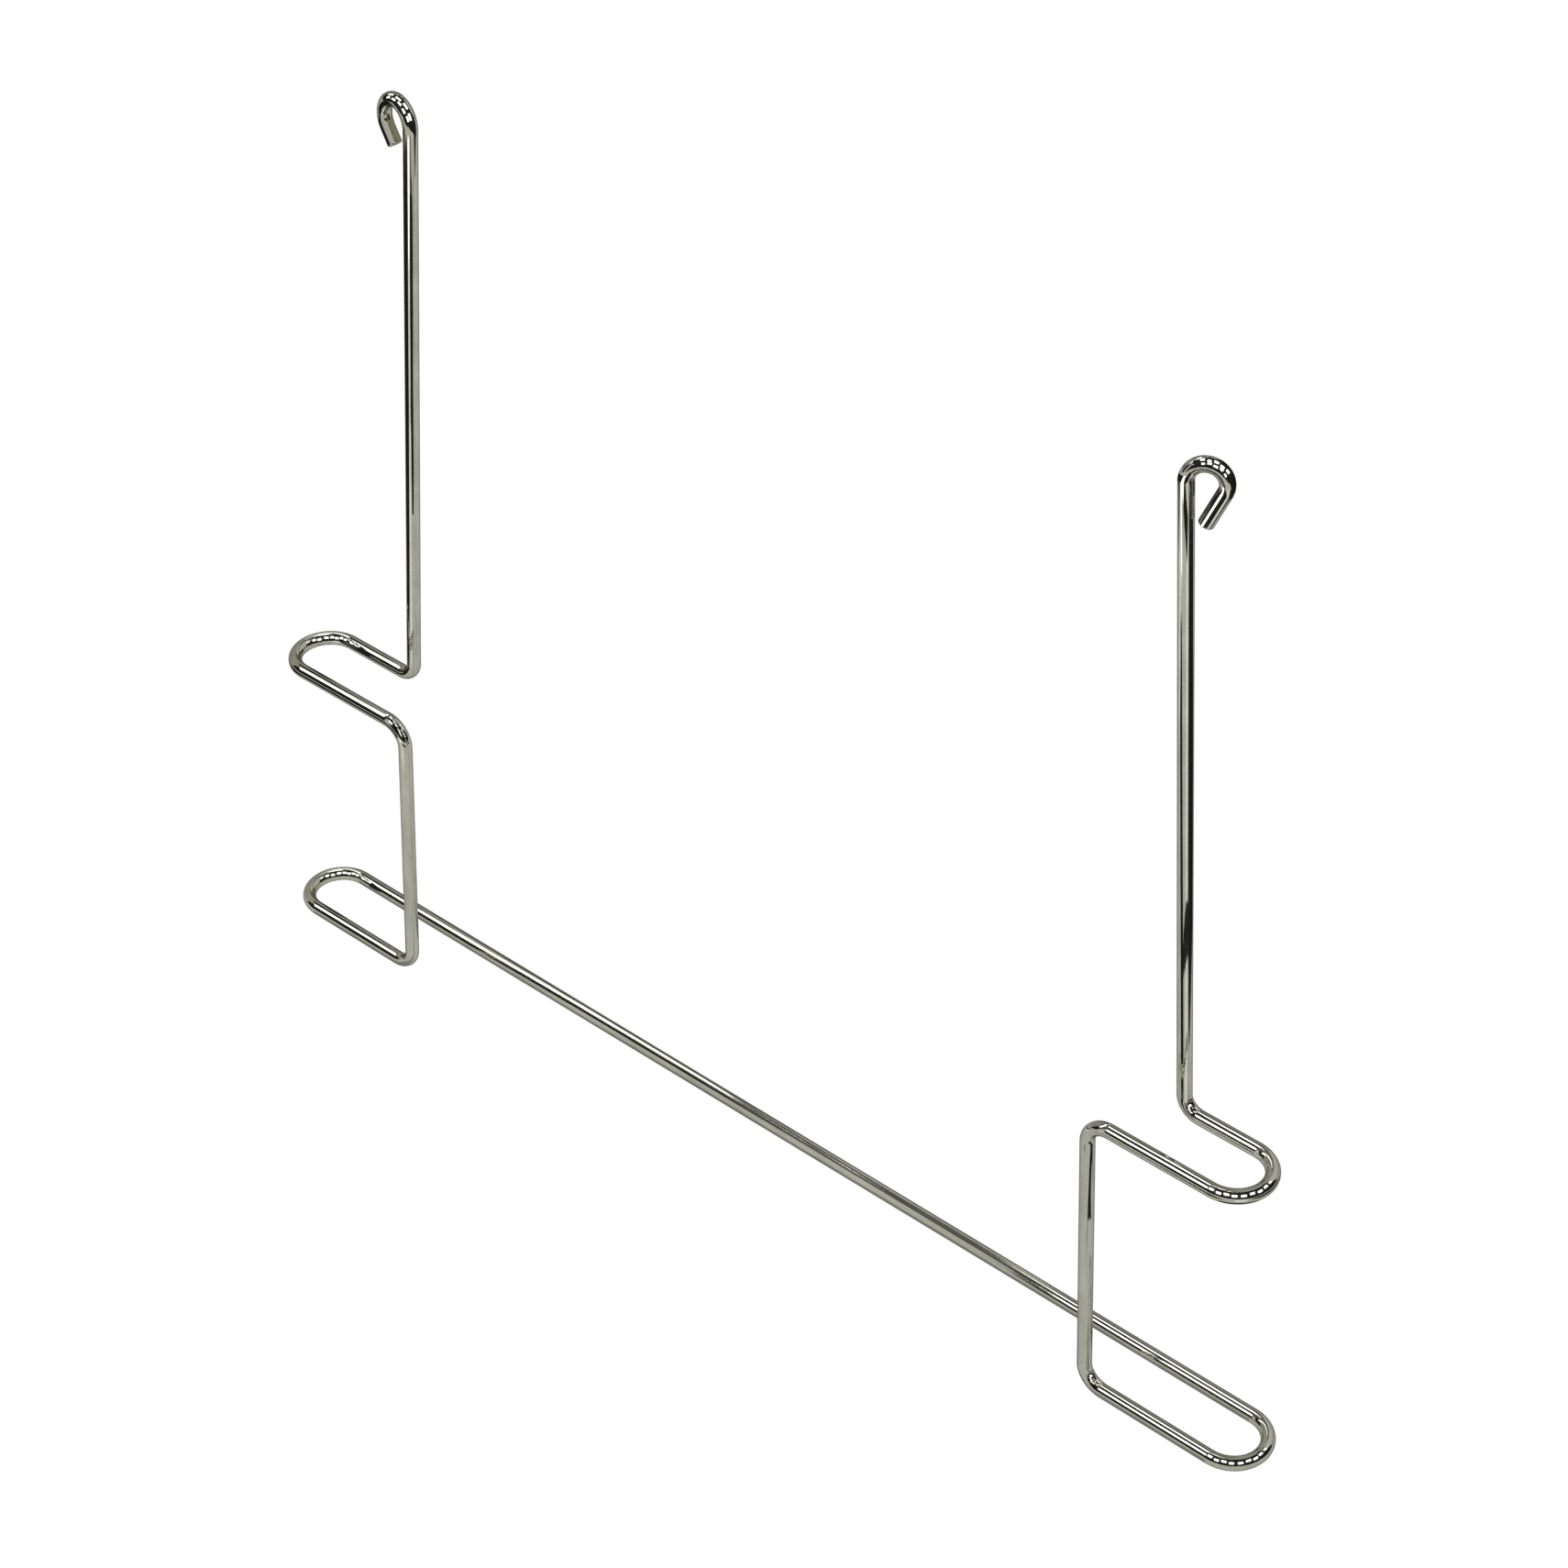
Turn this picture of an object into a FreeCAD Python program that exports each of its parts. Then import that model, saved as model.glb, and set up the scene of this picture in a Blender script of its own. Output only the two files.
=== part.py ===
import FreeCAD, Part
import math
import os

# Hanging file rack: one round plated wire, bent cold into a shallow open frame.
# The wire runs from the left eye down the left arm, out and back round the left upper loop,
# down the left post, out and back round the left lower loop, along the rail, and then the
# same way up the right side. Arms and rail lie in the rear plane, posts in the front plane.
# Each named stretch of the wire is a solid of its own, and the stretches meet face to face.
# Frame: +Z up, +Y to the rear, origin under the middle of the rack on the surface it stands on.
# All sizes are in millimetres and degrees, and places are those of the wire's centreline.

# Driving dimensions
WIRE_D = 4.76            # 3/16 in wire
RACK_DEPTH = 22.4        # from the front plane to the rear plane
LEVEL_RISE = 106.3       # from the lower loops to the upper ones
LOWER_LOOP_X = 197.0     # centre of a lower loop's turn
POST_FOOT_X = 148.8      # where a post would meet the lower level
POST_LEAN = 2.65         # how far each post leans inwards
POST_BEND_R = 7.8        # bends at both ends of a post
ARM_FOOT_X = 162.5       # where an arm would meet the upper level
ARM_LEAN = 4.3           # how far each arm leans inwards
ARM_BEND_R = 6.2         # bend at the foot of an arm
TIP_EDGE_R = 0.4         # rounded edge of the sheared tips

# The wire is bent by hand, so the upper loops and the eyes differ a little from side to side
UPPER_LOOP_X = {"left": 192.7, "right": 188.9}   # centre of the upper loop's turn
ARM_RISE = {"left": 212.8, "right": 214.4}       # from the upper loop to the start of the eye
EYE_R = {"left": 7.0, "right": 5.6}              # bend of the eye
EYE_TURN = {"left": 223.0, "right": 207.0}       # how far the wire turns round the eye
EYE_SWING = {"left": 10.0, "right": 23.0}        # how far the eye's plane swings to the rear
EYE_TAIL = {"left": 5.7, "right": 11.6}          # straight end of the wire after the eye's bend

# Worked out from them
WIRE_R = WIRE_D / 2
TURN_R = RACK_DEPTH / 2
EYE_REACH_Y = 2 * EYE_R["right"] * math.sin(math.radians(EYE_SWING["right"]))
REAR_Y = (RACK_DEPTH - EYE_REACH_Y) / 2
FRONT_Y = REAR_Y - RACK_DEPTH
LOWER_Z = WIRE_R
UPPER_Z = LOWER_Z + LEVEL_RISE
POST_HEAD_X = POST_FOOT_X - LEVEL_RISE * math.tan(math.radians(POST_LEAN))


def straight_run(start, end):
    """A straight length of wire."""
    return Part.makeCylinder(WIRE_R, start.distanceToPoint(end), start, end - start)


def curved_run(start, heading, centre, turn):
    """A length of wire that sets off with a heading and turns about a centre."""
    section = Part.Face(Part.Wire(Part.makeCircle(WIRE_R, start, heading)))
    axis = (start - centre).cross(heading)
    return section.revolve(centre, axis, turn)


def join(runs):
    """One solid from lengths of wire that meet face to face."""
    whole = runs[0]
    for run in runs[1:]:
        whole = whole.fuse(run)
    return whole.removeSplitter().Solids[0]


def bend_ends(before, corner, after, radius):
    """The points where a bend at a corner leaves one leg and joins the next."""
    heading = (corner - before).normalize()
    leaving = (after - corner).normalize()
    setback = radius * math.tan(heading.getAngle(leaving) / 2)
    return corner - heading * setback, corner + leaving * setback


def bent_wire(points, radii):
    """One length of wire through the points, with a bend at each corner between them."""
    shortest_run = WIRE_R / 100
    runs = []
    here = points[0]
    for before, corner, after, radius in zip(points, points[1:], points[2:], radii):
        start, end = bend_ends(before, corner, after, radius)
        if here.distanceToPoint(start) > shortest_run:
            runs.append(straight_run(here, start))
        heading = (corner - before).normalize()
        leaving = (after - corner).normalize()
        inwards = (leaving - heading * leaving.dot(heading)).normalize()
        turn = math.degrees(heading.getAngle(leaving))
        runs.append(curved_run(start, heading, start + inwards * radius, turn))
        here = end
    if here.distanceToPoint(points[-1]) > shortest_run:
        runs.append(straight_run(here, points[-1]))
    return join(runs)


def eye(side_name, side, arm_top, arm_heading):
    """The eye curled outwards at the top of an arm, with a short sheared tail."""
    to_rear = FreeCAD.Vector(0, 1, 0)
    to_side = to_rear.cross(arm_heading) * side
    swing = math.radians(EYE_SWING[side_name])
    outwards = to_side * math.cos(swing) + to_rear * math.sin(swing)
    radius = EYE_R[side_name]
    turn = math.radians(EYE_TURN[side_name])
    curl = curved_run(arm_top, arm_heading, arm_top + outwards * radius, EYE_TURN[side_name])
    curl_end = arm_top + outwards * radius * (1 - math.cos(turn)) + arm_heading * radius * math.sin(turn)
    heading = outwards * math.sin(turn) + arm_heading * math.cos(turn)
    tip = curl_end + heading * EYE_TAIL[side_name]
    tail = straight_run(curl_end, tip)
    tip_edges = [edge for edge in tail.Edges if edge.CenterOfMass.distanceToPoint(tip) < TIP_EDGE_R]
    return join([curl, tail.makeFillet(TIP_EDGE_R, tip_edges)])


def side_nodes(side_name, side):
    """The named stretches of one side: side is 1 on the right and -1 on the left."""
    def place(x, y, z):
        return FreeCAD.Vector(side * x, y, z)

    lower_far_x = LOWER_LOOP_X + TURN_R
    upper_far_x = UPPER_LOOP_X[side_name] + TURN_R
    arm_rise = ARM_RISE[side_name]
    arm_top_x = ARM_FOOT_X - arm_rise * math.tan(math.radians(ARM_LEAN))
    rail_end = place(LOWER_LOOP_X, REAR_Y, LOWER_Z)
    lower_far_rear = place(lower_far_x, REAR_Y, LOWER_Z)
    lower_far_front = place(lower_far_x, FRONT_Y, LOWER_Z)
    post_foot = place(POST_FOOT_X, FRONT_Y, LOWER_Z)
    post_head = place(POST_HEAD_X, FRONT_Y, UPPER_Z)
    upper_far_front = place(upper_far_x, FRONT_Y, UPPER_Z)
    upper_far_rear = place(upper_far_x, REAR_Y, UPPER_Z)
    arm_foot = place(ARM_FOOT_X, REAR_Y, UPPER_Z)
    arm_top = place(arm_top_x, REAR_Y, UPPER_Z + arm_rise)

    _, post_start = bend_ends(lower_far_front, post_foot, post_head, POST_BEND_R)
    post_end, _ = bend_ends(post_foot, post_head, upper_far_front, POST_BEND_R)
    _, arm_start = bend_ends(upper_far_rear, arm_foot, arm_top, ARM_BEND_R)

    lower_points = [rail_end, lower_far_rear, lower_far_front, post_foot, post_start]
    upper_points = [post_end, post_head, upper_far_front, upper_far_rear, arm_foot, arm_start]
    return {
        "lower_loop": bent_wire(lower_points, [TURN_R, TURN_R, POST_BEND_R]),
        "post": straight_run(post_start, post_end),
        "upper_loop": bent_wire(upper_points, [POST_BEND_R, TURN_R, TURN_R, ARM_BEND_R]),
        "arm": straight_run(arm_start, arm_top),
        "eye": eye(side_name, side, arm_top, (arm_top - arm_foot).normalize()),
    }


def rail():
    """The straight rail along the bottom, between the turns of the two lower loops."""
    left_end = FreeCAD.Vector(-LOWER_LOOP_X, REAR_Y, LOWER_Z)
    right_end = FreeCAD.Vector(LOWER_LOOP_X, REAR_Y, LOWER_Z)
    return straight_run(left_end, right_end)


os.makedirs("parts", exist_ok=True)
nodes = {"rail": rail()}
for side_name, side in (("left", -1), ("right", 1)):
    for name, solid in side_nodes(side_name, side).items():
        nodes[side_name + "_" + name] = solid

wire_length = 0
for name, solid in nodes.items():
    solid.exportStep("parts/" + name + ".step")
    wire_length += solid.Volume / (math.pi * WIRE_R ** 2)
    box = solid.BoundBox
    print(name, "valid" if solid.isValid() else "NOT VALID", "volume", round(solid.Volume, 1),
          "x", round(box.XMin, 2), round(box.XMax, 2), "y", round(box.YMin, 2), round(box.YMax, 2),
          "z", round(box.ZMin, 2), round(box.ZMax, 2))
print("length of wire, mm:", round(wire_length))
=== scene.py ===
import math

import bpy
import numpy as np
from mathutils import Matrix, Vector


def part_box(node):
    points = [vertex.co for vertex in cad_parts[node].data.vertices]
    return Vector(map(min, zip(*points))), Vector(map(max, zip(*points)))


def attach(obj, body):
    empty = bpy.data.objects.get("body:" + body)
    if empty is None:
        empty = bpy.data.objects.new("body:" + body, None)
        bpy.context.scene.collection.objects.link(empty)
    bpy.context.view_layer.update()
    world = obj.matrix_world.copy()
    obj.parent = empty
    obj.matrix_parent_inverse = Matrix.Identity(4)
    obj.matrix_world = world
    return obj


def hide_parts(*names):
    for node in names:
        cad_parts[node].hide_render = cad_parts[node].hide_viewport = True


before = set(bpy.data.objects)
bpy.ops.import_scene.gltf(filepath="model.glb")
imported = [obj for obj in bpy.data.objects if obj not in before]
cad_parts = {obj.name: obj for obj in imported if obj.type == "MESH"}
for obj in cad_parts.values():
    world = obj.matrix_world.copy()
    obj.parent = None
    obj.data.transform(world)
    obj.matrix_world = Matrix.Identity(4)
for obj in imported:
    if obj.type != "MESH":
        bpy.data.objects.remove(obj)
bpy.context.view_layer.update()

# Looks of the hanging file rack: one bent, plated wire. Every CAD stretch of the wire is
# replaced by a finer sweep of the same line, with the flattening that a bend gives a round
# wire, sheared tips and a plated surface. Metres and radians. The wire's size, planes and
# loops come from the frame, and its bends repeat the driving sizes of the CAD part.

MM = 0.001

# The wire's size and planes, from the frame
rail_low, rail_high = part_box("rail")
loop_low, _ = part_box("right_lower_loop")
WIRE_R = (rail_high.z - rail_low.z) / 2
REAR_Y = (rail_low.y + rail_high.y) / 2
FRONT_Y = loop_low.y + WIRE_R
TURN_R = (REAR_Y - FRONT_Y) / 2
LOWER_Z = rail_low.z + WIRE_R
LOWER_LOOP_X = rail_high.x
UPPER_LOOP_X = {}
for side_name in ("left", "right"):
    farthest_x = max(abs(corner.x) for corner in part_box(side_name + "_upper_loop"))
    UPPER_LOOP_X[side_name] = farthest_x - WIRE_R - TURN_R

# The bends, as the wire is formed
LEVEL_RISE = 106.3 * MM    # from the lower loops to the upper ones
UPPER_Z = LOWER_Z + LEVEL_RISE
POST_FOOT_X = 148.8 * MM
POST_LEAN = math.radians(2.65)
POST_BEND_R = 7.8 * MM
ARM_FOOT_X = 162.5 * MM
ARM_LEAN = math.radians(4.3)
ARM_BEND_R = 6.2 * MM
ARM_RISE = {"left": 212.8 * MM, "right": 214.4 * MM}
EYE_R = {"left": 7.0 * MM, "right": 5.6 * MM}
EYE_TURN = {"left": math.radians(223), "right": math.radians(207)}
EYE_SWING = {"left": math.radians(10), "right": math.radians(23)}
EYE_TAIL = {"left": 5.7 * MM, "right": 11.6 * MM}
TIP_EDGE_R = 0.4 * MM

# How finely the sweep is cut
AROUND = 48
ANGLES = np.arange(AROUND) * 2 * math.pi / AROUND
RUN_STEP = 1.6 * MM
BEND_STEP = 0.45 * MM
TIP_RINGS = 6
TIP_FACE_RINGS = 5
SHORTEST_RUN = WIRE_R / 100


def smooth(x):
    """0 below 0, 1 above 1, and an even curve between."""
    x = np.clip(x, 0.0, 1.0)
    return x * x * (3 - 2 * x)


# ---------------------------------------------------------------- the wire's line

def straight(node, start, end):
    """A straight run of a node's wire."""
    length = (end - start).length
    return {"node": node, "start": start, "heading": (end - start) / length, "length": length,
            "bend_r": None}


def bend(node, start, heading, centre, turn):
    """A bend that starts with a heading and turns about a centre."""
    bend_r = (centre - start).length
    return {"node": node, "start": start, "heading": heading, "length": bend_r * turn,
            "bend_r": bend_r, "centre": centre}


def station(run, along):
    """Place, heading and direction to the bend's centre, at a distance along a run."""
    if run["bend_r"] is None:
        return run["start"] + run["heading"] * along, run["heading"], Vector((0, 0, 0))
    inwards = (run["centre"] - run["start"]).normalized()
    angle = along / run["bend_r"]
    heading = run["heading"] * math.cos(angle) + inwards * math.sin(angle)
    to_centre = inwards * math.cos(angle) - run["heading"] * math.sin(angle)
    return run["centre"] - to_centre * run["bend_r"], heading, to_centre


def bend_ends(before, corner, after, bend_r):
    """Where a bend at a corner leaves one leg and joins the next."""
    heading = (corner - before).normalized()
    leaving = (after - corner).normalized()
    setback = bend_r * math.tan(heading.angle(leaving) / 2)
    return corner - heading * setback, corner + leaving * setback


def runs_through(node, points, radii):
    """The runs and bends of one stretch of wire through its corner points."""
    runs = []
    here = points[0]
    for before, corner, after, bend_r in zip(points, points[1:], points[2:], radii):
        start, end = bend_ends(before, corner, after, bend_r)
        if (start - here).length > SHORTEST_RUN:
            runs.append(straight(node, here, start))
        heading = (corner - before).normalized()
        leaving = (after - corner).normalized()
        inwards = (leaving - heading * leaving.dot(heading)).normalized()
        runs.append(bend(node, start, heading, start + inwards * bend_r, heading.angle(leaving)))
        here = end
    if (points[-1] - here).length > SHORTEST_RUN:
        runs.append(straight(node, here, points[-1]))
    return runs


def eye_runs(side_name, side, arm_top, arm_heading):
    """The curl and the straight tail of an eye."""
    to_rear = Vector((0, 1, 0))
    to_side = to_rear.cross(arm_heading) * side
    swing = EYE_SWING[side_name]
    outwards = to_side * math.cos(swing) + to_rear * math.sin(swing)
    centre = arm_top + outwards * EYE_R[side_name]
    curl = bend(side_name + "_eye", arm_top, arm_heading, centre, EYE_TURN[side_name])
    curl_end, heading, _ = station(curl, curl["length"])
    tip = curl_end + heading * EYE_TAIL[side_name]
    return [curl, straight(side_name + "_eye", curl_end, tip)]


def side_runs(side_name, side):
    """Every run of one side, from the end of the rail to the tip of the eye."""
    def place(x, y, z):
        return Vector((side * x, y, z))

    post_head_x = POST_FOOT_X - (UPPER_Z - LOWER_Z) * math.tan(POST_LEAN)
    rail_end = place(LOWER_LOOP_X, REAR_Y, LOWER_Z)
    lower_far_rear = place(LOWER_LOOP_X + TURN_R, REAR_Y, LOWER_Z)
    lower_far_front = place(LOWER_LOOP_X + TURN_R, FRONT_Y, LOWER_Z)
    post_foot = place(POST_FOOT_X, FRONT_Y, LOWER_Z)
    post_head = place(post_head_x, FRONT_Y, UPPER_Z)
    upper_far_x = UPPER_LOOP_X[side_name] + TURN_R
    upper_far_front = place(upper_far_x, FRONT_Y, UPPER_Z)
    upper_far_rear = place(upper_far_x, REAR_Y, UPPER_Z)
    arm_rise = ARM_RISE[side_name]
    arm_foot = place(ARM_FOOT_X, REAR_Y, UPPER_Z)
    arm_top = place(ARM_FOOT_X - arm_rise * math.tan(ARM_LEAN), REAR_Y, UPPER_Z + arm_rise)

    _, post_start = bend_ends(lower_far_front, post_foot, post_head, POST_BEND_R)
    post_end, _ = bend_ends(post_foot, post_head, upper_far_front, POST_BEND_R)
    _, arm_start = bend_ends(upper_far_rear, arm_foot, arm_top, ARM_BEND_R)
    lower_points = [rail_end, lower_far_rear, lower_far_front, post_foot, post_start]
    upper_points = [post_end, post_head, upper_far_front, upper_far_rear, arm_foot, arm_start]
    runs = runs_through(side_name + "_lower_loop", lower_points, [TURN_R, TURN_R, POST_BEND_R])
    runs.append(straight(side_name + "_post", post_start, post_end))
    runs += runs_through(side_name + "_upper_loop", upper_points,
                         [POST_BEND_R, TURN_R, TURN_R, ARM_BEND_R])
    runs.append(straight(side_name + "_arm", arm_start, arm_top))
    return runs + eye_runs(side_name, side, arm_top, (arm_top - arm_foot).normalized())


def reversed_run(run):
    """The same run, walked from its other end."""
    end, heading, _ = station(run, run["length"])
    return dict(run, start=end, heading=-heading)


def whole_wire():
    """All runs in order, from the left eye's tip to the right eye's tip."""
    left = [reversed_run(run) for run in reversed(side_runs("left", -1))]
    rail_ends = [Vector((side * LOWER_LOOP_X, REAR_Y, LOWER_Z)) for side in (-1, 1)]
    return left + [straight("rail", *rail_ends)] + side_runs("right", 1)


# ---------------------------------------------------------------- the sweep

def bend_share(runs, run_index, along):
    """How far a place is into its bend: 0 at the bend's ends and 1 a wire's radius inside them."""
    run = runs[run_index]
    before, after = along, run["length"] - along
    if run_index > 0 and runs[run_index - 1]["bend_r"] == run["bend_r"]:
        before += runs[run_index - 1]["length"]
    if run_index < len(runs) - 1 and runs[run_index + 1]["bend_r"] == run["bend_r"]:
        after += runs[run_index + 1]["length"]
    return float(smooth(min(before, after) / WIRE_R))


def sample(runs):
    """Stations along the whole wire, with the first and last station of each node.

    A station has its place, its heading, the direction to its bend's centre, its strain and its
    distance along the wire."""
    stations = []
    spans = {}
    travelled = 0.0
    for index, run in enumerate(runs):
        step = RUN_STEP if run["bend_r"] is None else BEND_STEP
        count = max(2, round(run["length"] / step))
        spans.setdefault(run["node"], [len(stations), 0])
        for k in range(count):
            along = run["length"] * k / count
            strain = bend_share(runs, index, along) * WIRE_R / run["bend_r"] if run["bend_r"] else 0.0
            stations.append((*station(run, along), strain, travelled + along))
        travelled += run["length"]
        spans[run["node"]][1] = len(stations)
    stations.append((*station(runs[-1], runs[-1]["length"]), 0.0, travelled))
    return [np.array(values, float) for values in zip(*stations)], spans


def carried_frames(headings):
    """Two directions across the wire at each station, carried along without twisting."""
    across = np.cross(headings[0], [0.0, 0.0, 1.0])
    first = []
    for heading in headings:
        across = across - heading * across.dot(heading)
        across = across / np.linalg.norm(across)
        first.append(across)
    first = np.array(first)
    return first, np.cross(headings, first)


BEND_FLATTENING = 0.16     # share of the radius that a bend squeezes, per unit of strain
BEND_WIDENING = 0.4        # share of that squeeze that comes back as width across the bend
DRAW_WAVE = 0.003 * MM     # depth of the slow waves that drawing and plating leave
# Each wave's length, its crests round the wire and its phase
DRAW_WAVES = ((11 * MM, 1, 0.7), (19 * MM, 2, 2.1), (37 * MM, 3, 4.0), (7.3 * MM, 2, 5.2))
RIPPLE = 0.010 * MM        # depth of the fine ripples that a tight bend raises
RIPPLE_LENGTH = 1.9 * MM
RIPPLE_CRESTS = 5          # how many there are round the wire
RIPPLE_TURN = 1.3          # where round the wire they start, in radians
RIPPLE_SWAY = 2            # how far they wander along the wire, in radians of their length
SWAYS = 3                  # and how often they do so round the wire
TIP_SAG = 0.05 * MM        # how far the middle of a sheared face sinks
SHEAR_LEAN = 0.4           # how much more it sinks on the side the blade came from
SHEAR_FROM = (0.3, 0.9, 0.3)   # the direction of that side


def ripples(distances):
    """The pattern of the fine ripples: stations by places around."""
    along = 2 * math.pi * distances[:, None] / RIPPLE_LENGTH
    sway = RIPPLE_SWAY * np.sin(SWAYS * ANGLES)[None, :]
    return np.cos(along + sway) * np.cos(RIPPLE_CRESTS * ANGLES + RIPPLE_TURN)[None, :]


def swept_surface(runs):
    """The whole wire's surface and normals: stations by places around, before the tips."""
    (places, headings, inwards, strains, distances), spans = sample(runs)
    first, second = carried_frames(headings)
    outwards = (first[:, None, :] * np.cos(ANGLES)[None, :, None]
                + second[:, None, :] * np.sin(ANGLES)[None, :, None])
    in_plane = np.abs(np.einsum("sac,sc->sa", outwards, inwards))
    squeeze = BEND_FLATTENING * strains[:, None]
    radius = WIRE_R * (1 + squeeze * (BEND_WIDENING - in_plane ** 2))
    for length, crests, phase in DRAW_WAVES:
        wave = np.cos(2 * math.pi * distances[:, None] / length + crests * ANGLES[None, :] + phase)
        radius = radius + DRAW_WAVE / len(DRAW_WAVES) * wave
    radius = radius + RIPPLE * strains[:, None] / strains.max() * ripples(distances)
    surface = places[:, None, :] + outwards * radius[:, :, None]
    along = np.gradient(surface, axis=0)
    across = np.roll(surface, -1, axis=1) - np.roll(surface, 1, axis=1)
    normals = np.cross(across, along)
    normals = normals / np.linalg.norm(normals, axis=2, keepdims=True)
    if np.einsum("sac,sac->sa", normals, outwards).mean() < 0:
        normals = -normals
    return {"places": places, "headings": headings, "distances": distances, "surface": surface,
            "normals": normals}, spans


def tip_rings(wire, index, facing):
    """Rings, each with its normals, that round a sheared tip's edge and cross its face."""
    centre = wire["places"][index]
    edge = wire["surface"][index] - centre
    edge_unit = edge / np.linalg.norm(edge, axis=1, keepdims=True)
    rings = []
    for k in range(1, TIP_RINGS + 1):
        angle = math.pi / 2 * k / TIP_RINGS
        inset = TIP_EDGE_R * (1 - math.cos(angle))
        rise = TIP_EDGE_R * (math.sin(angle) - 1)
        normal = edge_unit * math.cos(angle) + facing * math.sin(angle)
        rings.append((centre + edge - edge_unit * inset + facing * rise, normal))
    face = edge - edge_unit * TIP_EDGE_R
    lean = 1 + SHEAR_LEAN * (edge_unit @ np.array(SHEAR_FROM))
    face_normals = np.repeat(facing[None, :], AROUND, axis=0)
    for k in range(1, TIP_FACE_RINGS):
        share = 1 - k / TIP_FACE_RINGS
        sag = TIP_SAG * (1 - share) * lean
        rings.append((centre + face * share - facing * sag[:, None], face_normals))
    return rings


def tube_faces(rows, start_middle, end_middle):
    """The faces of a tube with this many rings, and the fans that close it at two vertices."""
    faces = []
    for row in range(rows - 1):
        for k in range(AROUND):
            k_next = (k + 1) % AROUND
            faces.append((row * AROUND + k, row * AROUND + k_next,
                          (row + 1) * AROUND + k_next, (row + 1) * AROUND + k))
    last_row = (rows - 1) * AROUND
    for k in range(AROUND):
        k_next = (k + 1) % AROUND
        faces.append((k_next, k, start_middle))
        faces.append((last_row + k, last_row + k_next, end_middle))
    return faces


def set_normals(mesh, ring_normals, middle_normals):
    """Smooth the mesh with the sweep's own normals, and keep the fans at its ends flat."""
    loop_normals = []
    for polygon in mesh.polygons:
        polygon.use_smooth = True
        corners = list(polygon.vertices)
        if corners[-1] in middle_normals:
            loop_normals += [middle_normals[corners[-1]]] * len(corners)
        else:
            loop_normals += [ring_normals[corner] for corner in corners]
    mesh.normals_split_custom_set([tuple(normal) for normal in loop_normals])


def make_stretch(node, wire, span, tips):
    """One closed mesh piece for a CAD node, with its normals and its coordinates along the wire."""
    first, last = span
    surface = list(wire["surface"][first:last + 1])
    normals = list(wire["normals"][first:last + 1])
    distances = list(wire["distances"][first:last + 1])
    middles = [wire["places"][first], wire["places"][last]]
    facings = [-wire["headings"][first], wire["headings"][last]]
    start_rings, end_rings = [], []
    if tips[0]:
        surface[0] = surface[0] - facings[0] * TIP_EDGE_R
        middles[0] = middles[0] - facings[0] * TIP_SAG
        start_rings = tip_rings(wire, first, facings[0])[::-1]
    if tips[1]:
        surface[-1] = surface[-1] - facings[1] * TIP_EDGE_R
        middles[1] = middles[1] - facings[1] * TIP_SAG
        end_rings = tip_rings(wire, last, facings[1])
    surface = [ring for ring, _ in start_rings] + surface + [ring for ring, _ in end_rings]
    normals = [normal for _, normal in start_rings] + normals + [normal for _, normal in end_rings]
    distances = ([distances[0]] * len(start_rings) + distances
                 + [distances[-1]] * len(end_rings))

    rows = len(surface)
    start_middle, end_middle = rows * AROUND, rows * AROUND + 1
    vertices = np.concatenate(surface + [middles]).tolist()
    mesh = bpy.data.meshes.new(node + "_wire")
    mesh.from_pydata(vertices, [], tube_faces(rows, start_middle, end_middle))
    mesh.validate()
    piece = bpy.data.objects.new(node + "_wire", mesh)
    bpy.context.scene.collection.objects.link(piece)
    set_normals(mesh, np.concatenate(normals), {start_middle: facings[0], end_middle: facings[1]})

    round_wire = np.tile(ANGLES, rows)
    spread = np.stack([WIRE_R * np.cos(round_wire), WIRE_R * np.sin(round_wire),
                       np.repeat(distances, AROUND)], axis=1)
    spread = np.concatenate([spread, [[0, 0, distances[0]], [0, 0, distances[-1]]]])
    layer = mesh.attributes.new("along_wire", "FLOAT_VECTOR", "POINT")
    layer.data.foreach_set("vector", spread.ravel())
    return piece


# ---------------------------------------------------------------- material

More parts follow.
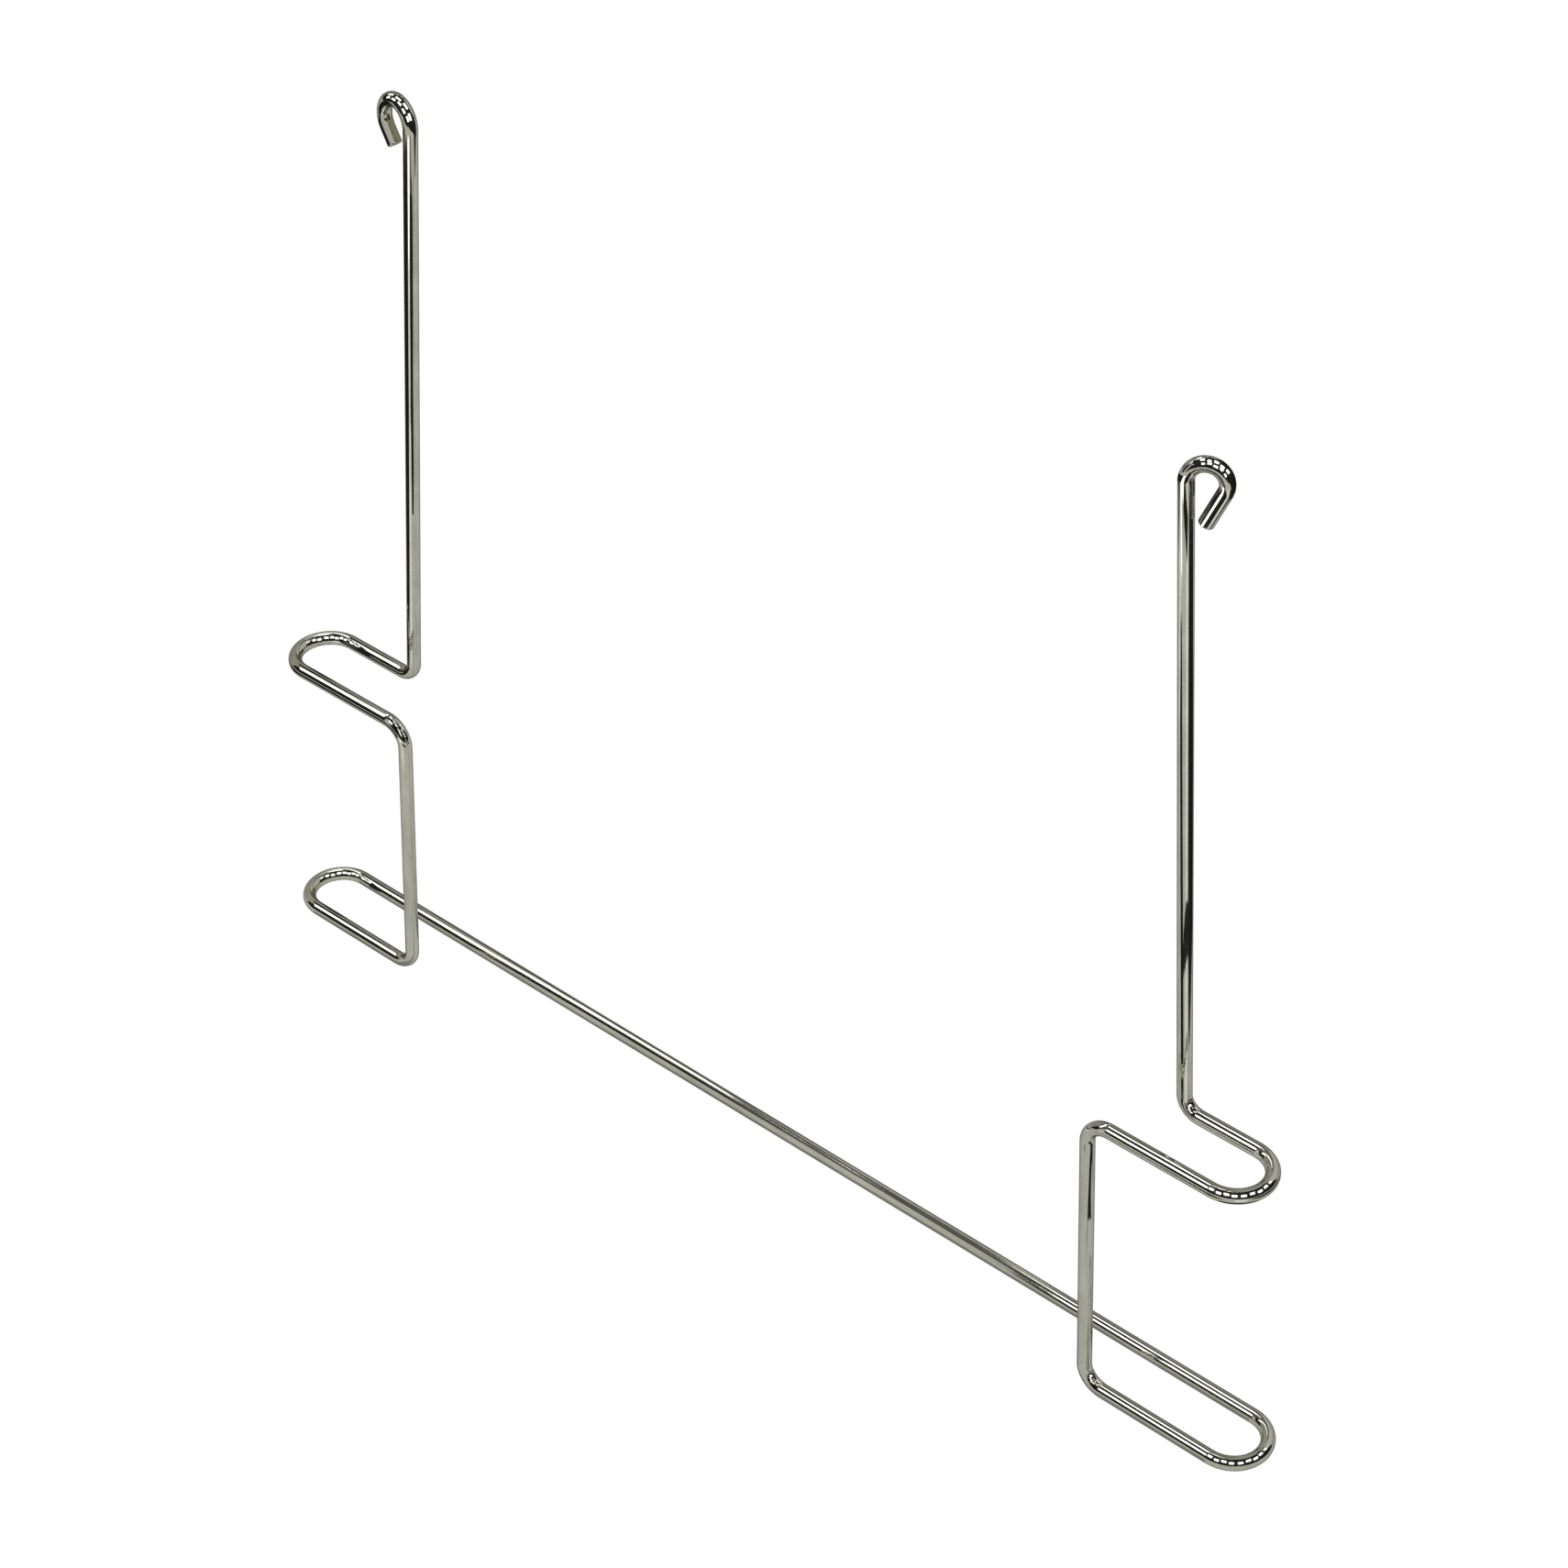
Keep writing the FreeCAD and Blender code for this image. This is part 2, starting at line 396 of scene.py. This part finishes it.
def plated_wire():
    """Bright plating on drawn wire: warm grey metal with draw lines and a faint speckle."""
    material = bpy.data.materials.new("plated_wire")
    material.use_nodes = True
    nodes, links = material.node_tree.nodes, material.node_tree.links
    shader = nodes["Principled BSDF"]
    shader.inputs["Metallic"].default_value = 1.0
    # The plating is duller where it is seen edge on
    shader.inputs["Specular Tint"].default_value = (0.36, 0.36, 0.30, 1)

    place = nodes.new("ShaderNodeAttribute")
    place.attribute_name = "along_wire"

    def noise(scale, stretch, detail, roughness=0.5):
        """Noise whose grain is stretched along the wire; its scale is in features per metre."""
        mapping = nodes.new("ShaderNodeMapping")
        mapping.inputs["Scale"].default_value = (1.0, 1.0, 1.0 / stretch)
        texture = nodes.new("ShaderNodeTexNoise")
        texture.inputs["Scale"].default_value = scale
        texture.inputs["Detail"].default_value = detail
        texture.inputs["Roughness"].default_value = roughness
        links.new(place.outputs["Vector"], mapping.inputs["Vector"])
        links.new(mapping.outputs["Vector"], texture.inputs["Vector"])
        return texture.outputs["Fac"]

    def between(source, low, high):
        """A value that follows a noise between two limits; most noise is from 0.3 to 0.7."""
        node = nodes.new("ShaderNodeMapRange")
        node.inputs["From Min"].default_value = 0.3
        node.inputs["From Max"].default_value = 0.7
        node.inputs["To Min"].default_value = low
        node.inputs["To Max"].default_value = high
        links.new(source, node.inputs["Value"])
        return node.outputs["Result"]

    def colours(source, stops):
        """A colour that follows a noise between two stops, each a place and a colour."""
        node = nodes.new("ShaderNodeValToRGB")
        for element, (position, colour) in zip(node.color_ramp.elements, stops):
            element.position = position
            element.color = (*colour, 1)
        links.new(source, node.inputs["Fac"])
        return node.outputs["Color"]

    def relief(height, strength, depth, under=None):
        """The normal of a fine relief, over another one."""
        node = nodes.new("ShaderNodeBump")
        node.inputs["Strength"].default_value = strength
        node.inputs["Distance"].default_value = depth
        links.new(height, node.inputs["Height"])
        if under:
            links.new(under, node.inputs["Normal"])
        return node.outputs["Normal"]

    clouds = noise(scale=260, stretch=4, detail=3)
    draw_lines = noise(scale=5200, stretch=60, detail=2)
    speckle = noise(scale=2600, stretch=1.2, detail=2, roughness=0.7)
    grain = noise(scale=1500, stretch=1.8, detail=3, roughness=0.75)
    peel = noise(scale=1500, stretch=1.5, detail=2)

    tint = colours(clouds, ((0.32, (0.66, 0.655, 0.60)), (0.70, (0.82, 0.81, 0.765))))
    mottle = colours(grain, ((0.36, (0.86, 0.90, 0.84)), (0.64, (1.0, 0.985, 1.0))))
    mixed = nodes.new("ShaderNodeMix")
    mixed.data_type = "RGBA"
    mixed.blend_type = "MULTIPLY"
    mixed.inputs["Factor"].default_value = 1.0
    first_colour, second_colour = [socket for socket in mixed.inputs if socket.type == "RGBA"]
    links.new(tint, first_colour)
    links.new(mottle, second_colour)
    product = next(socket for socket in mixed.outputs if socket.type == "RGBA")
    links.new(product, shader.inputs["Base Color"])

    roughness = nodes.new("ShaderNodeMath")
    roughness.operation = "ADD"
    links.new(between(draw_lines, low=0.02, high=0.06), roughness.inputs[0])
    links.new(between(speckle, low=0.0, high=0.05), roughness.inputs[1])
    links.new(roughness.outputs["Value"], shader.inputs["Roughness"])

    drawn = relief(draw_lines, strength=0.12, depth=0.004 * MM)
    peeled = relief(peel, strength=0.15, depth=0.006 * MM, under=drawn)
    links.new(peeled, shader.inputs["Normal"])
    return material


# ---------------------------------------------------------------- camera

CAMERA_AZIMUTH = math.radians(41.53)
CAMERA_ELEVATION = math.radians(37.77)
CAMERA_DISTANCE = 1.2228
CAMERA_LENS = 90.35      # the lens and the sensor are in millimetres, as Blender takes them
SENSOR_WIDTH = 36
AIM_HEIGHT = 0.14646
AIM_ASIDE = 0.0035

CAMERA_RIGHT = Vector((math.cos(CAMERA_AZIMUTH), math.sin(CAMERA_AZIMUTH), 0))
CAMERA_BACK = Vector((math.sin(CAMERA_AZIMUTH) * math.cos(CAMERA_ELEVATION),
                      -math.cos(CAMERA_AZIMUTH) * math.cos(CAMERA_ELEVATION),
                      math.sin(CAMERA_ELEVATION)))
CAMERA_PLACE = (Vector((0, REAR_Y, AIM_HEIGHT)) + CAMERA_RIGHT * AIM_ASIDE
                + CAMERA_BACK * CAMERA_DISTANCE)


def make_camera():
    """The camera, front right of the rack and well above it."""
    data = bpy.data.cameras.new("camera")
    data.sensor_width = SENSOR_WIDTH
    data.lens = CAMERA_LENS
    data.clip_start = 0.05
    data.clip_end = 50
    camera = bpy.data.objects.new("camera", data)
    camera.location = CAMERA_PLACE
    camera.rotation_euler = (-CAMERA_BACK).to_track_quat("-Z", "Y").to_euler()
    bpy.context.scene.collection.objects.link(camera)
    bpy.context.scene.camera = camera


# ---------------------------------------------------------------- studio

FLOOR_HALF = 6.0
GREY_SHEET_WIDTH = 6.0
UNDER_FLOOR = 2 * MM     # how far the grey sheet, seen only in reflections, is under the floor
OVER_FLOOR = 1 * MM      # and how far above it a card on the floor lies
DOME_CENTRE = Vector((0, 0, 0.15))
DOME_R = 1.6             # the panels and lamps overhead stand on this dome
INNER_SHARE = 0.9        # the cards overhead are just inside it
CLOTH_SHARE = 1.15       # and the black cloth is behind it
CLOTH_AZIMUTHS = (-158, 54)
CLOTH_ELEVATIONS = (-4, 84)
CLOTH_STEPS = (10, 16)   # steps up it and round it
LAMP_FILL = 0.74         # share of an overhead lamp's square that it fills
CARD_STEPS = 6           # steps across a card, and between two stations along it
CLOSE = 40 * MM          # how far from the wire most small cards are
BESIDE = 11 * MM         # and those that other stretches should hardly mirror
CELL_GAP = 1.5 * MM      # how far a dark card is behind the lamp cells in front of it
CELL_FILL = 0.64         # share of a mirrored row that its lamp cells fill
CELL_STAGGER = 0.045     # how far neighbouring cells are set to either side, across the wire
LOW_SPAN = 0.4           # the length that shares of the level wires' cards are given along

DARK_COLOUR = (0.5, 0.5, 0.47)
GREY_COLOUR = (0.52, 0.52, 0.48)


def emission(name, colour, strength):
    """A plain glowing material for the studio's surfaces."""
    material = bpy.data.materials.new(name)
    material.use_nodes = True
    nodes, links = material.node_tree.nodes, material.node_tree.links
    nodes.remove(nodes["Principled BSDF"])
    glow = nodes.new("ShaderNodeEmission")
    glow.inputs["Color"].default_value = (*colour, 1)
    glow.inputs["Strength"].default_value = strength
    links.new(glow.outputs["Emission"], nodes["Material Output"].inputs["Surface"])
    return material


def studio_surface(name, vertices, faces, material):
    """A surface of the studio that only reflections see."""
    mesh = bpy.data.meshes.new(name)
    mesh.from_pydata([tuple(vertex) for vertex in vertices], [], faces)
    mesh.materials.append(material)
    plate = bpy.data.objects.new(name, mesh)
    bpy.context.scene.collection.objects.link(plate)
    plate.visible_camera = False
    plate.visible_diffuse = False
    plate.visible_shadow = False
    plate.visible_transmission = False


def grid_faces(rows, columns):
    """The faces of a sheet of vertices with this many steps each way."""
    faces = []
    for row in range(rows):
        for column in range(columns):
            corner = row * (columns + 1) + column
            faces.append((corner, corner + 1, corner + columns + 2, corner + columns + 1))
    return faces


def panel(name, centre, facing, width, height, material, upwards):
    """A flat rectangle that faces one way, with its height along another."""
    facing = facing.normalized()
    side = upwards.cross(facing).normalized()
    upright = facing.cross(side)
    corners = [centre + side * (width / 2 * a) + upright * (height / 2 * b)
               for a, b in ((-1, -1), (1, -1), (1, 1), (-1, 1))]
    studio_surface(name, corners, [(0, 1, 2, 3)], material)


def sky_direction(east, north):
    """A direction overhead: east and north are tan of half the angle from straight up."""
    spread = 1 + east * east + north * north
    return Vector((2 * east / spread, 2 * north / spread, (2 - spread) / spread))


def sky_panel(name, start, end, width, material):
    """A panel on the dome from one sky place to another."""
    first, last = sky_direction(*start), sky_direction(*end)
    middle = (first + last).normalized()
    across = (last - first).cross(middle).normalized()
    panel(name, DOME_CENTRE + middle * DOME_R, -middle, width, (last - first).length * DOME_R,
          material, across.cross(middle))


def lamp_cells(name, start, end, width, rows, count, material):
    """A bank of small square lamps along a line overhead, with dark gaps between them."""
    first, last = sky_direction(*start), sky_direction(*end)
    length = (last - first).length * DOME_R
    for column in range(count):
        middle = first.lerp(last, (column + 0.5) / count).normalized()
        across = (last - first).cross(middle).normalized()
        for row in range(rows):
            aside = across * (width * ((row + 0.5) / rows - 0.5))
            panel("%s_%d_%d" % (name, row, column), DOME_CENTRE + middle * DOME_R + aside, -middle,
                  width / rows * LAMP_FILL, length / count * LAMP_FILL, material,
                  across.cross(middle))


def black_cloth(material):
    """The dark part of the surroundings, a little outside the dome's panels."""
    rows, columns = CLOTH_STEPS
    first_azimuth, last_azimuth = CLOTH_AZIMUTHS
    lowest, highest = CLOTH_ELEVATIONS
    vertices = []
    for row in range(rows + 1):
        for column in range(columns + 1):
            azimuth = math.radians(first_azimuth + (last_azimuth - first_azimuth) * column / columns)
            elevation = math.radians(lowest + (highest - lowest) * row / rows)
            direction = Vector((math.cos(azimuth) * math.cos(elevation),
                                math.sin(azimuth) * math.cos(elevation), math.sin(elevation)))
            vertices.append(DOME_CENTRE + direction * DOME_R * CLOTH_SHARE)
    studio_surface("black_cloth", vertices, grid_faces(rows, columns), material)


# Cards are placed by following the main camera's sight lines off the wire, so a card is given
# by the share of the run and the part of the wire's width, from -1 to 1, that mirrors it there.

def mirrored(place, axis, across):
    """The start and the heading of a sight line that the wire mirrors, across its width."""
    to_camera = (CAMERA_PLACE - place).normalized()
    facing = (to_camera - axis * to_camera.dot(axis)).normalized()
    normal = facing * math.sqrt(1 - across * across) + axis.cross(facing) * across
    return place + normal * WIRE_R, normal * (2 * normal.dot(to_camera)) - to_camera


def on_dome(start, heading):
    """Where a sight line meets a dome just inside the panels."""
    offset = start - DOME_CENTRE
    middle = -offset.dot(heading)
    inner_r = DOME_R * INNER_SHARE
    return start + heading * (middle + math.sqrt(middle ** 2 - offset.length_squared + inner_r ** 2))


def on_floor(start, heading):
    """Where a sight line meets the floor."""
    return start + heading * ((OVER_FLOOR - start.z) / heading.z)


def near(distance):
    """A landing a short way along a sight line."""
    return lambda start, heading: start + heading * distance


def filled_in(stations):
    """The stations of a card with even steps between them."""
    rows = [stations[0]]
    for before, after in zip(stations, stations[1:]):
        for step in range(1, CARD_STEPS + 1):
            rows.append([a + (b - a) * step / CARD_STEPS for a, b in zip(before, after)])
    return rows


def card(name, run, stations, landing, material):
    """A card that a run of the wire mirrors: share of the run, first and last across it."""
    rows = filled_in(stations)
    vertices = []
    for share, first, last in rows:
        place, axis, _ = station(run, run["length"] * share)
        for step in range(CARD_STEPS + 1):
            across = first + (last - first) * step / CARD_STEPS
            vertices.append(landing(*mirrored(place, axis, across)))
    studio_surface(name, vertices, grid_faces(len(rows) - 1, CARD_STEPS), material)


def mirrored_cells(name, run, landing, rows, material):
    """Small lamps that a bend mirrors: a row's first and last share, number, and its sides."""
    for row, (first, last, count, inner, outer) in enumerate(rows):
        spacing = (last - first) / (count - 1)
        for column in range(count):
            share = first + spacing * column
            aside = CELL_STAGGER if (row + column) % 2 else -CELL_STAGGER
            ends = [(share + spacing * CELL_FILL / 2 * end, inner + aside, outer + aside)
                    for end in (-1, 1)]
            card("%s_%d_%d" % (name, row, column), run, ends, landing, material)


def make_world():
    """Soft light from all round, which the camera itself sees as plain white."""
    world = bpy.data.worlds.new("studio")
    world.use_nodes = True
    nodes, links = world.node_tree.nodes, world.node_tree.links
    nodes["Background"].inputs["Color"].default_value = (0.34, 0.345, 0.30, 1)
    white = nodes.new("ShaderNodeBackground")
    white.inputs["Color"].default_value = (1, 1, 1, 1)
    choice = nodes.new("ShaderNodeMixShader")
    path = nodes.new("ShaderNodeLightPath")
    links.new(path.outputs["Is Camera Ray"], choice.inputs["Fac"])
    links.new(nodes["Background"].outputs["Background"], choice.inputs[1])
    links.new(white.outputs["Background"], choice.inputs[2])
    links.new(choice.outputs["Shader"], nodes["World Output"].inputs["Surface"])
    bpy.context.scene.world = world
    bpy.context.scene.view_settings.view_transform = "Standard"


def make_floor():
    """The white floor, which the wire doesn't mirror."""
    half = FLOOR_HALF
    mesh = bpy.data.meshes.new("floor")
    mesh.from_pydata([(-half, -half, 0), (half, -half, 0), (half, half, 0), (-half, half, 0)],
                     [], [(0, 1, 2, 3)])
    mesh.materials.append(emission("floor_white", (1, 1, 1), strength=1.0))
    floor = bpy.data.objects.new("floor", mesh)
    bpy.context.scene.collection.objects.link(floor)
    floor.visible_glossy = False


def make_surroundings(black, grey, lamp):
    """What the wire mirrors far off: a pale sheet below, a dark cloth, a wall and lamps above."""
    panel("grey_sheet", Vector((0, 0, -UNDER_FLOOR)), Vector((0, 0, 1)), GREY_SHEET_WIDTH,
          GREY_SHEET_WIDTH, grey, Vector((0, 1, 0)))
    black_cloth(black)
    sky_panel("grey_wall", (0.0, 0.32), (0.0, 0.80), width=1.9, material=grey)
    for name, start, end, width, rows, count in (
            ("lamp_zenith", (-0.20, 0.18), (0.20, -0.20), 0.50, 2, 4),
            ("lamp_south_east", (0.25, -0.25), (0.50, -0.55), 0.50, 2, 4),
            ("lamp_north_east", (0.13, 0.30), (0.36, 0.38), 0.36, 2, 2),
            ("lamp_east", (0.34, 0.06), (0.75, 0.12), 0.44, 2, 4),
            ("lamp_south", (-0.10, -0.28), (-0.16, -0.55), 0.44, 2, 3)):
        lamp_cells(name, start, end, width, rows, count, lamp)


def cards_for_level_wires(black, dark, shade, grey, lamp):
    """Cards that the level wires mirror: shares run from left to right along the rack."""
    low_wire = straight("low_wire", Vector((-LOW_SPAN / 2, 0, LOWER_Z)),
                        Vector((LOW_SPAN / 2, 0, LOWER_Z)))
    for name, material, stations in (
            ("lamp_west", lamp, (
                (-0.05, -0.24, 0.02), (0.06, -0.27, 0.0), (0.12, -0.32, 0.01),
                (0.18, -0.41, -0.09), (0.25, -0.52, -0.20), (0.31, -0.58, -0.28),
                (0.37, -0.60, -0.34), (0.46, -0.59, -0.38))),
            ("lamp_right_row", lamp, ((0.80, -0.49, -0.36), (1.05, -0.47, -0.34))),
            ("lamp_right", lamp, ((0.80, -0.07, 0.14), (1.05, -0.07, 0.14))),
            ("gap_left", black, ((-0.05, -0.55, -0.30), (0.09, -0.57, -0.33))),
            ("gap_middle", dark, ((0.46, -0.62, -0.05), (0.76, -0.62, -0.02))),
            ("gap_right", dark, ((0.80, -0.74, -0.52), (1.05, -0.72, -0.52))),
            ("gap_right_low", black, ((0.80, -0.33, -0.09), (1.05, -0.31, -0.09))),
            ("grey_front", grey, (
                (0.18, 0.34, 0.48), (0.25, 0.22, 0.48), (0.31, 0.14, 0.48), (0.37, 0.12, 0.48),
                (0.46, 0.08, 0.48), (0.54, 0.0, 0.48), (0.76, 0.0, 0.48))),
            ("skirting", dark, (
                (-0.2, -0.97, -0.79), (0.08, -0.97, -0.77), (0.2, -0.97, -0.66),
                (0.46, -0.97, -0.68), (0.56, -0.97, -0.79), (1.2, -0.97, -0.80)))):
        card(name, low_wire, stations, on_dome, material)
    for name, y in (("floor_shade_rear", REAR_Y), ("floor_shade_front", FRONT_Y)):
        left_end = Vector((-LOWER_LOOP_X, y, LOWER_Z))
        right_end = Vector((LOWER_LOOP_X, y, LOWER_Z))
        card(name, straight(name, left_end, right_end), ((0.0, 0.64, 0.98), (1.0, 0.64, 0.98)),
             on_floor, shade)


def named_wires():
    """The arms, curls, tails and turns by name, each walked the way that its cards are given.

    Arms run up, curls on from them and tails up from the tip. Of each loop's two quarter turns
    this gives the rear one on the left and the front one on the right, walked out from its leg."""
    wires = {}
    for side_name, side in (("left", -1), ("right", 1)):
        runs = side_runs(side_name, side)
        lower_rear, lower_front, upper_front, upper_rear = [
            run for run in runs if run["bend_r"] and abs(run["bend_r"] - TURN_R) < SHORTEST_RUN]
        arm, curl, tail = runs[-3:]
        wires[side_name + "_arm"] = arm
        wires[side_name + "_curl"] = curl
        wires[side_name + "_tail"] = reversed_run(tail)
        if side_name == "left":
            wires["left_lower_turn"] = lower_rear
            wires["left_upper_turn"] = reversed_run(upper_rear)
        else:
            wires["right_lower_turn"] = reversed_run(lower_front)
            wires["right_upper_turn"] = upper_front
    return wires


def cards_for_uprights_and_bends(wires, black, dark, grey, bright, olive, lamp):
    """Cards that the arms, the curls, the loops' turns and the tails of the eyes mirror."""
    behind_close, behind_beside = near(CLOSE + CELL_GAP), near(BESIDE + CELL_GAP)
    left_turn_dark = ((0.02, -0.44, 0.42), (0.95, -0.46, 0.36))
    right_turn_dark = ((0.0, -0.46, 0.38), (1.0, -0.44, 0.38))
    for wire_name, name, landing, material, stations in (
            ("left_arm", "floor_west", on_floor, black, (
                (0.0, -0.88, -0.64), (0.13, -0.89, -0.55), (0.5, -0.92, -0.45),
                (1.0, -0.97, -0.42))),
            ("left_arm", "floor_near", on_floor, bright, (
                (0.0, -0.46, -0.22), (0.78, -0.44, -0.20))),
            ("left_arm", "floor_near_top", on_floor, lamp, (
                (0.78, -0.38, -0.26), (1.0, -0.38, -0.16))),
            ("left_arm", "flag_left", near(CLOSE), black, (
                (0.31, -0.12, 0.10), (0.4, -0.17, 0.15), (0.90, -0.16, 0.12))),
            ("left_arm", "flag_left_top", near(CLOSE), dark, (
                (0.90, -0.13, 0.04), (1.0, -0.12, 0.0))),
            ("left_arm", "line_left", near(CLOSE), black, (
                (0.93, 0.50, 0.56), (1.0, 0.42, 0.68))),
            ("right_arm", "floor_east", on_floor, black, (
                (0.10, 0.46, 0.62), (0.3, 0.37, 0.89), (0.6, 0.32, 0.88), (1.0, 0.32, 0.78))),
            ("right_arm", "floor_right", on_floor, bright, (
                (0.0, 0.05, 0.27), (1.0, 0.03, 0.25))),
            ("right_arm", "floor_south", on_floor, black, (
                (0.0, -0.45, -0.13), (0.23, -0.51, -0.20), (0.45, -0.58, -0.31),
                (0.65, -0.63, -0.39), (0.80, -0.64, -0.44))),
            ("left_curl", "curl_left_dark", behind_close, black, (
                (0.0, 0.42, 0.72), (0.09, -0.30, 0.70), (0.20, -0.62, 0.62), (0.45, -0.60, 0.60),
                (0.56, -0.55, 0.45))),
            ("right_curl", "curl_right_dark", behind_close, black, (
                (0.30, -0.62, 0.10), (0.45, -0.75, 0.25), (0.60, -0.95, 0.25),
                (0.75, -0.97, -0.10), (0.92, -0.97, -0.55))),
            ("left_lower_turn", "turn_left_lower_dark", behind_beside, black, left_turn_dark),
            ("left_upper_turn", "turn_left_upper_dark", behind_beside, black, left_turn_dark),
            ("right_lower_turn", "turn_right_lower_dark", behind_close, black, right_turn_dark),
            ("right_upper_turn", "turn_right_upper_dark", behind_close, black, right_turn_dark),
            ("left_tail", "tail_left_edge", near(BESIDE), black, (
                (0.0, -0.97, -0.60), (1.5, -0.97, -0.60))),
            ("left_tail", "tail_left_face", near(BESIDE), grey, (
                (0.0, -0.56, 0.0), (1.1, -0.56, 0.10))),
            ("left_tail", "tail_left_back", near(BESIDE), olive, (
                (0.0, 0.02, 0.97), (1.1, 0.12, 0.97))),
            ("right_tail", "tail_right_edge", near(CLOSE), black, (
                (0.0, -0.97, -0.40), (1.2, -0.97, -0.40))),
            ("right_tail", "tail_right_lamp", near(CLOSE), lamp, (
                (0.0, -0.36, -0.14), (1.2, -0.36, -0.14))),
            ("right_tail", "tail_right_gap", near(CLOSE), black, (
                (0.0, -0.10, 0.38), (1.2, -0.10, 0.38)))):
        card(name, wires[wire_name], stations, landing, material)


def lamps_for_bends(wires, lamp):
    """The small lamps that the curls and the loops' turns mirror, in front of the dark cards."""
    left_turn = ((0.08, 0.42, 4, -0.14, 0.16), (0.57, 0.86, 3, -0.18, 0.12))
    right_turn = ((0.05, 0.40, 4, -0.16, 0.12), (0.54, 0.92, 4, -0.16, 0.12))
    for wire_name, distance, rows in (
            ("left_curl", CLOSE, ((0.16, 0.45, 4, 0.20, 0.45), (0.15, 0.46, 5, -0.22, 0.02))),
            ("right_curl", CLOSE, ((0.40, 0.68, 5, -0.62, -0.38), (0.41, 0.69, 5, -0.24, 0.0))),
            ("left_lower_turn", BESIDE, left_turn),
            ("left_upper_turn", BESIDE, left_turn),
            ("right_lower_turn", CLOSE, right_turn),
            ("right_upper_turn", CLOSE, right_turn)):
        mirrored_cells("cell_" + wire_name, wires[wire_name], near(distance), rows, lamp)


def make_studio():
    """A white floor, soft light, and the surfaces that the plating mirrors."""
    make_world()
    make_floor()
    black = emission("black", DARK_COLOUR, strength=0.03)
    dark = emission("dark", DARK_COLOUR, strength=0.25)
    shade = emission("shade", GREY_COLOUR, strength=0.55)
    grey = emission("grey", GREY_COLOUR, strength=1.03)
    bright = emission("bright", (0.52, 0.52, 0.49), strength=1.6)
    olive = emission("olive", (0.22, 0.23, 0.14), strength=1.0)
    lamp = emission("lamp_white", (1.0, 1.0, 0.985), strength=2.3)
    make_surroundings(black, grey, lamp)
    cards_for_level_wires(black, dark, shade, grey, lamp)
    wires = named_wires()
    cards_for_uprights_and_bends(wires, black, dark, grey, bright, olive, lamp)
    lamps_for_bends(wires, lamp)


# ---------------------------------------------------------------- making

wire, node_spans = swept_surface(whole_wire())
plating = plated_wire()
last_station = len(wire["places"]) - 1
for node, span in node_spans.items():
    piece = make_stretch(node, wire, span, (span[0] == 0, span[1] == last_station))
    piece.data.materials.append(plating)
    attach(piece, "root")
    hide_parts(node)

make_camera()
make_studio()
